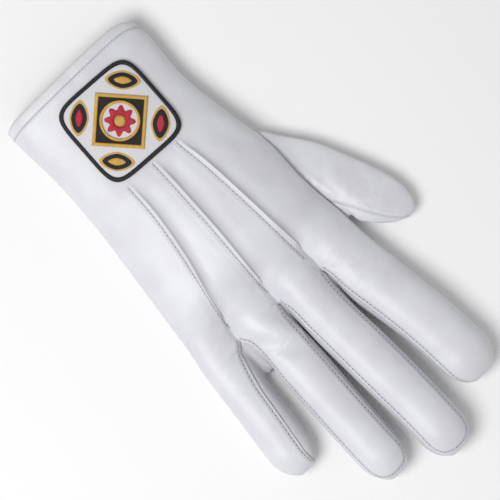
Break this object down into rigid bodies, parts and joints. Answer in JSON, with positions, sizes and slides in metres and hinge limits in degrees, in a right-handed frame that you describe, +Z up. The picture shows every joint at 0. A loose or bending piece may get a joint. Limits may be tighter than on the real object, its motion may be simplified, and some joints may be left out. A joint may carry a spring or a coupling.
{
  "type": "dress glove",
  "caption": "White leather parade glove for the right hand, with sewn tucks on the back and an embroidered badge on the cuff.",
  "frame": {"origin": "under the middle of the glove's outline, on the surface that it lies on", "axes": "+X towards the little finger, +Y towards the fingertips, +Z up out of the back of the hand"},
  "size_m": [0.1358, 0.2558, 0.0287],
  "materials": {
    "leather": "smooth white leather, soft sheen",
    "badge_ground": "white satin stitch",
    "thread_black": "black thread",
    "thread_gold": "gold thread",
    "thread_red": "red thread"
  },
  "bodies": {
    "root": {"trank": "leather", "fourchette_index_middle": "leather", "fourchette_middle_ring": "leather", "fourchette_ring_little": "leather", "thumb": "leather", "badge_border": "thread_black", "badge_ground": "badge_ground", "badge_lozenge": "thread_gold", "badge_ring": "thread_gold", "badge_rosette": "thread_red", "badge_boss": "thread_gold", "badge_leaf_1": "thread_gold", "badge_leaf_2": "thread_red", "badge_leaf_3": "thread_gold", "badge_leaf_4": "thread_red"}
  },
  "joints": []
}
